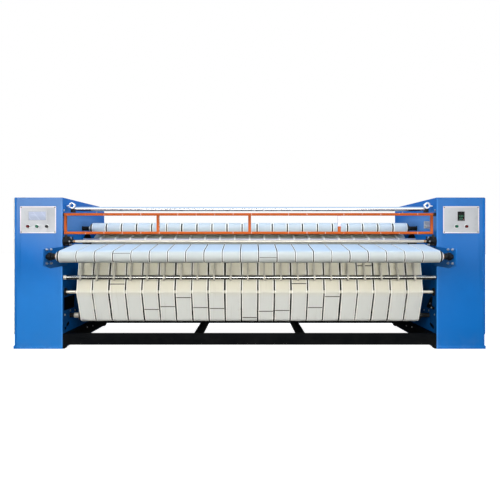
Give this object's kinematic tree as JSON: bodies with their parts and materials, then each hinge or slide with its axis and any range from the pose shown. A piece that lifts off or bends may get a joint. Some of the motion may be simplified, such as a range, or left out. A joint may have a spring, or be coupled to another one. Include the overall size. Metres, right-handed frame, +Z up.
{
  "type": "flatwork ironer",
  "caption": "Wide roller ironer for flat linen: heated cylinder wrapped by felt belts, a belt feeding table and two end cabinets.",
  "frame": {"origin": "middle of the floor area, on the floor", "axes": "+X along the cylinder, to the right seen from the feeding side; +Y to the back; +Z up"},
  "size_m": [4.03, 1.735, 1.292],
  "materials": {
    "blue_paint": "semi-gloss powder coat",
    "cream_paint": "semi-gloss powder coat",
    "black_paint": "satin paint",
    "orange_paint": "chipped gloss paint",
    "stainless": "brushed sheet",
    "polished_steel": "polished tube",
    "turned_steel": "turned and worn",
    "cylinder_steel": "ground and polished",
    "cast_iron": "painted black",
    "zinc": "zinc plated",
    "felt": "needled felt",
    "canvas": "woven canvas",
    "tape": "woven tape",
    "white_plastic": "moulded",
    "screen": "display panel",
    "black_plastic": "moulded",
    "grey_plastic": "moulded",
    "red_plastic": "moulded",
    "green_plastic": "moulded"
  },
  "bodies": {
    "frame": {"side_walls": "blue_paint", "cabinet_shells": "blue_paint", "service_cover_left": "cream_paint", "service_cover_right": "blue_paint", "plinths": "blue_paint", "cover_locks": "zinc", "cross_beams": "black_paint", "floor_beams": "black_paint", "feet": "black_paint", "feed_brackets": "blue_paint", "feed_bearings": "cast_iron", "feed_belts": "canvas", "press_holders": "cast_iron", "guard_hinges": "black_paint", "top_rail": "polished_steel", "rail_loops": "zinc", "rail_blocks": "black_paint", "ironing_belts": "felt", "shaft_bearings": "cast_iron", "stripper_shaft": "turned_steel", "stripper_fingers": "white_plastic", "transfer_tapes": "tape", "wall_fittings": "black_paint", "limit_switch": "grey_plastic", "frame_bolts": "zinc", "control_plates": "stainless", "plate_screws": "zinc", "button_bezels": "zinc", "touch_screen": "screen", "temperature_controller": "black_plastic", "drive_bed": "black_paint", "gearbox": "cast_iron", "drive_motor": "cast_iron", "drive_chain": "turned_steel", "rotary_union": "cast_iron", "steam_pipes": "turned_steel", "electrical_box": "grey_plastic", "cable_gland": "black_plastic", "rear_panels": "blue_paint"},
    "cylinder": {"heated_cylinder": "cylinder_steel", "cylinder_sprocket": "turned_steel"},
    "feed_roll": {"feed_roll": "turned_steel"},
    "rear_feed_roll": {"rear_feed_roll": "turned_steel"},
    "press_tube": {"press_tube": "polished_steel"},
    "return_roll": {"return_roll": "turned_steel"},
    "nip_roll": {"nip_roll": "turned_steel"},
    "top_roll": {"top_roll": "turned_steel"},
    "rear_top_roll": {"rear_top_roll": "turned_steel"},
    "rear_bottom_roll": {"rear_bottom_roll": "turned_steel"},
    "front_bottom_roll": {"front_bottom_roll": "turned_steel"},
    "bend_tube": {"bend_tube": "polished_steel"},
    "tape_tube": {"tape_tube": "polished_steel"},
    "tape_bar": {"tape_bar": "polished_steel"},
    "drive_sprocket": {"drive_sprocket": "turned_steel"},
    "finger_guard": {"finger_guard": "orange_paint"},
    "red_button_left": {"red_button_left": "red_plastic"},
    "green_button_left": {"green_button_left": "green_plastic"},
    "black_button_left": {"black_button_left": "black_plastic"},
    "green_button_right": {"green_button_right": "green_plastic"},
    "red_button_right": {"red_button_right": "red_plastic"}
  },
  "joints": [
    {"name": "cylinder_turn", "type": "hinge", "parent": "frame", "child": "cylinder", "pos_m": [0, 0.4155, 0.608], "axis": [1, 0, 0], "continuous": true},
    {"name": "feed_roll_turn", "type": "hinge", "parent": "frame", "child": "feed_roll", "pos_m": [0, -0.7675, 0.796], "axis": [1, 0, 0], "continuous": true},
    {"name": "rear_feed_roll_turn", "type": "hinge", "parent": "frame", "child": "rear_feed_roll", "pos_m": [0, -0.3875, 0.848], "axis": [1, 0, 0], "continuous": true},
    {"name": "press_tube_turn", "type": "hinge", "parent": "frame", "child": "press_tube", "pos_m": [0, -0.3975, 0.918], "axis": [1, 0, 0], "continuous": true},
    {"name": "return_roll_turn", "type": "hinge", "parent": "frame", "child": "return_roll", "pos_m": [0, -0.2545, 0.8], "axis": [1, 0, 0], "continuous": true},
    {"name": "nip_roll_turn", "type": "hinge", "parent": "frame", "child": "nip_roll", "pos_m": [0, 0.00404, 0.79987], "axis": [1, 0, 0], "continuous": true},
    {"name": "top_roll_turn", "type": "hinge", "parent": "frame", "child": "top_roll", "pos_m": [0, 0.1125, 1.044], "axis": [1, 0, 0], "continuous": true},
    {"name": "rear_top_roll_turn", "type": "hinge", "parent": "frame", "child": "rear_top_roll", "pos_m": [0, 0.7875, 1.05], "axis": [1, 0, 0], "continuous": true},
    {"name": "rear_bottom_roll_turn", "type": "hinge", "parent": "frame", "child": "rear_bottom_roll", "pos_m": [0, 0.7875, 0.19], "axis": [1, 0, 0], "continuous": true},
    {"name": "front_bottom_roll_turn", "type": "hinge", "parent": "frame", "child": "front_bottom_roll", "pos_m": [0, -0.2335, 0.262], "axis": [1, 0, 0], "continuous": true},
    {"name": "bend_tube_turn", "type": "hinge", "parent": "frame", "child": "bend_tube", "pos_m": [0, -0.3705, 0.481], "axis": [1, 0, 0], "continuous": true},
    {"name": "tape_tube_turn", "type": "hinge", "parent": "frame", "child": "tape_tube", "pos_m": [0, -0.4145, 0.609], "axis": [1, 0, 0], "continuous": true},
    {"name": "tape_bar_turn", "type": "hinge", "parent": "frame", "child": "tape_bar", "pos_m": [0, -0.3425, 0.788], "axis": [1, 0, 0], "continuous": true},
    {"name": "drive_sprocket_turn", "type": "hinge", "parent": "frame", "child": "drive_sprocket", "pos_m": [0, -0.0725, 0.235], "axis": [1, 0, 0], "continuous": true},
    {"name": "finger_guard_swing", "type": "hinge", "parent": "frame", "child": "finger_guard", "pos_m": [0, -0.4075, 1.149], "axis": [1, 0, 0], "range_deg": [0, 14]},
    {"name": "red_button_left_press", "type": "slide", "parent": "frame", "child": "red_button_left", "axis": [0, 1, 0], "range_m": [0, 0.004], "stiffness_N_per_m": 700, "springref_m": -0.002},
    {"name": "green_button_left_press", "type": "slide", "parent": "frame", "child": "green_button_left", "axis": [0, 1, 0], "range_m": [0, 0.004], "stiffness_N_per_m": 700, "springref_m": -0.002},
    {"name": "black_button_left_press", "type": "slide", "parent": "frame", "child": "black_button_left", "axis": [0, 1, 0], "range_m": [0, 0.004], "stiffness_N_per_m": 700, "springref_m": -0.002},
    {"name": "green_button_right_press", "type": "slide", "parent": "frame", "child": "green_button_right", "axis": [0, 1, 0], "range_m": [0, 0.004], "stiffness_N_per_m": 700, "springref_m": -0.002},
    {"name": "red_button_right_press", "type": "slide", "parent": "frame", "child": "red_button_right", "axis": [0, 1, 0], "range_m": [0, 0.004], "stiffness_N_per_m": 700, "springref_m": -0.002}
  ],
  "couplings": [
    {"joint": "feed_roll_turn", "follows": "cylinder_turn", "ratio": -8.7609},
    {"joint": "rear_feed_roll_turn", "follows": "cylinder_turn", "ratio": -8.7609},
    {"joint": "return_roll_turn", "follows": "cylinder_turn", "ratio": -8.4842},
    {"joint": "nip_roll_turn", "follows": "cylinder_turn", "ratio": -8.4842},
    {"joint": "top_roll_turn", "follows": "cylinder_turn", "ratio": -8.4842},
    {"joint": "rear_top_roll_turn", "follows": "cylinder_turn", "ratio": -8.4842},
    {"joint": "rear_bottom_roll_turn", "follows": "cylinder_turn", "ratio": -8.4842},
    {"joint": "front_bottom_roll_turn", "follows": "cylinder_turn", "ratio": -8.4842},
    {"joint": "bend_tube_turn", "follows": "cylinder_turn", "ratio": -23.706},
    {"joint": "tape_tube_turn", "follows": "cylinder_turn", "ratio": -20.15},
    {"joint": "tape_bar_turn", "follows": "cylinder_turn", "ratio": -25.188},
    {"joint": "drive_sprocket_turn", "follows": "cylinder_turn", "ratio": 4}
  ]
}
